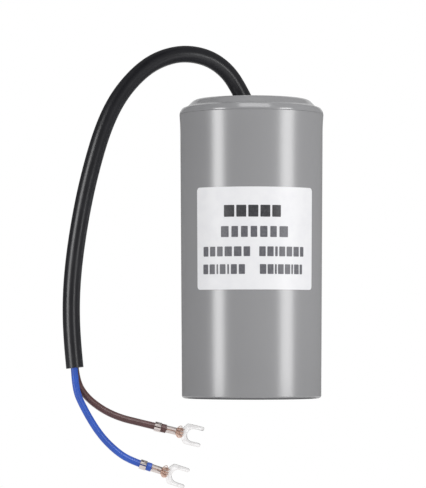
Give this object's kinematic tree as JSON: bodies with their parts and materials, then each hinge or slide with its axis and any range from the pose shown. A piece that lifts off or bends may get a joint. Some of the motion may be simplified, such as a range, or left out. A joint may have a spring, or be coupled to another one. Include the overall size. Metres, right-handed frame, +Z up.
{
  "type": "motor run capacitor",
  "caption": "Round motor run capacitor in a moulded case with a raised lid, a label and a sheathed lead whose cores end in fork terminals.",
  "frame": {"origin": "on the case's axis, 20 mm above its base, at the middle of the clamp band that holds the body", "axes": "+Z up along the case's axis, from the base to the lid; -Y towards the label and the hanging lead; -X towards the side over which the lead arches"},
  "size_m": [0.0885, 0.0651, 0.1504],
  "materials": {
    "case_plastic": "smooth gloss, moulded",
    "label_paper": "satin paper label",
    "label_ink": "dark print",
    "sheath_plastic": "satin flexible sheath",
    "blue_insulation": "satin flexible insulation",
    "brown_insulation": "satin flexible insulation",
    "copper": "bare fine strands",
    "tinned_brass": "bright tinned sheet",
    "resin": "cast resin",
    "metallised_film": "metallised film roll",
    "tube_plastic": "moulded tube",
    "wrap_film": "clear amber wrap",
    "zinc_spray": "rough sprayed metal",
    "solder": "bright solder"
  },
  "bodies": {
    "root": {"case": "case_plastic", "lid": "case_plastic", "label": "label_paper", "label_print": "label_ink", "cable_sheath": "sheath_plastic", "blue_core": "blue_insulation", "brown_core": "brown_insulation", "blue_strands": "copper", "brown_strands": "copper", "blue_terminal": "tinned_brass", "brown_terminal": "tinned_brass", "potting_resin": "resin", "film_winding": "metallised_film", "core_tube": "tube_plastic", "outer_wrap": "wrap_film", "end_spray_top": "zinc_spray", "end_spray_bottom": "zinc_spray", "solder_top": "solder", "solder_bottom": "solder", "blue_inner_lead": "blue_insulation", "brown_inner_lead": "brown_insulation", "blue_inner_strands": "copper", "brown_inner_strands": "copper"}
  },
  "joints": []
}
